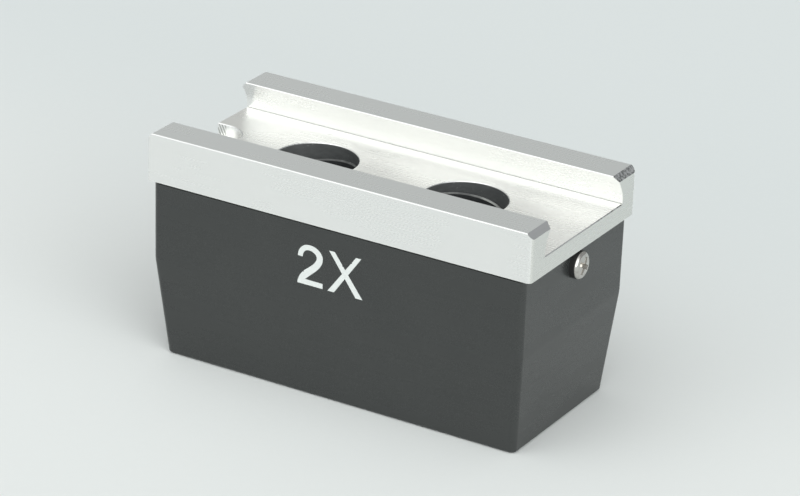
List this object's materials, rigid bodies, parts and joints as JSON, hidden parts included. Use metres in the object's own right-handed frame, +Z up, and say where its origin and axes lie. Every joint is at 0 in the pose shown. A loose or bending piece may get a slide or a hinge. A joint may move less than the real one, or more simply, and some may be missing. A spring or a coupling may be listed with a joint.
{
  "type": "stereo microscope objective",
  "caption": "Paired stereo objective: a milled dovetail slide plate on a tapered black housing, with a leaning lens tube for each eye.",
  "frame": {"origin": "middle of the housing's underside, which is the resting face", "axes": "+Z up, out of the channel floor; +X along the channel, away from the end with the stop notch; -Y out of the long side that carries the magnification number"},
  "size_m": [0.0628, 0.0296, 0.0342],
  "materials": {
    "milled_aluminium": "bright milled, satin, blackened inside the light openings",
    "black_housing": "satin black moulded",
    "bright_screw": "bright nickel plate",
    "black_metal": "matt black, as on blackened optical mounts",
    "optical_glass": "polished and coated"
  },
  "bodies": {
    "root": {"dovetail_plate": "milled_aluminium", "housing": "black_housing", "end_screw_left": "bright_screw", "objective_tube_left": "black_metal", "lock_ring_left": "black_metal", "glare_stop_left": "black_metal", "lens_cell_left": "black_metal", "aperture_stop_left": "black_metal", "retaining_ring_left": "black_metal", "crown_lens_left": "optical_glass", "flint_lens_left": "optical_glass", "end_screw_right": "bright_screw", "objective_tube_right": "black_metal", "lock_ring_right": "black_metal", "glare_stop_right": "black_metal", "lens_cell_right": "black_metal", "aperture_stop_right": "black_metal", "retaining_ring_right": "black_metal", "crown_lens_right": "optical_glass", "flint_lens_right": "optical_glass"}
  },
  "joints": []
}
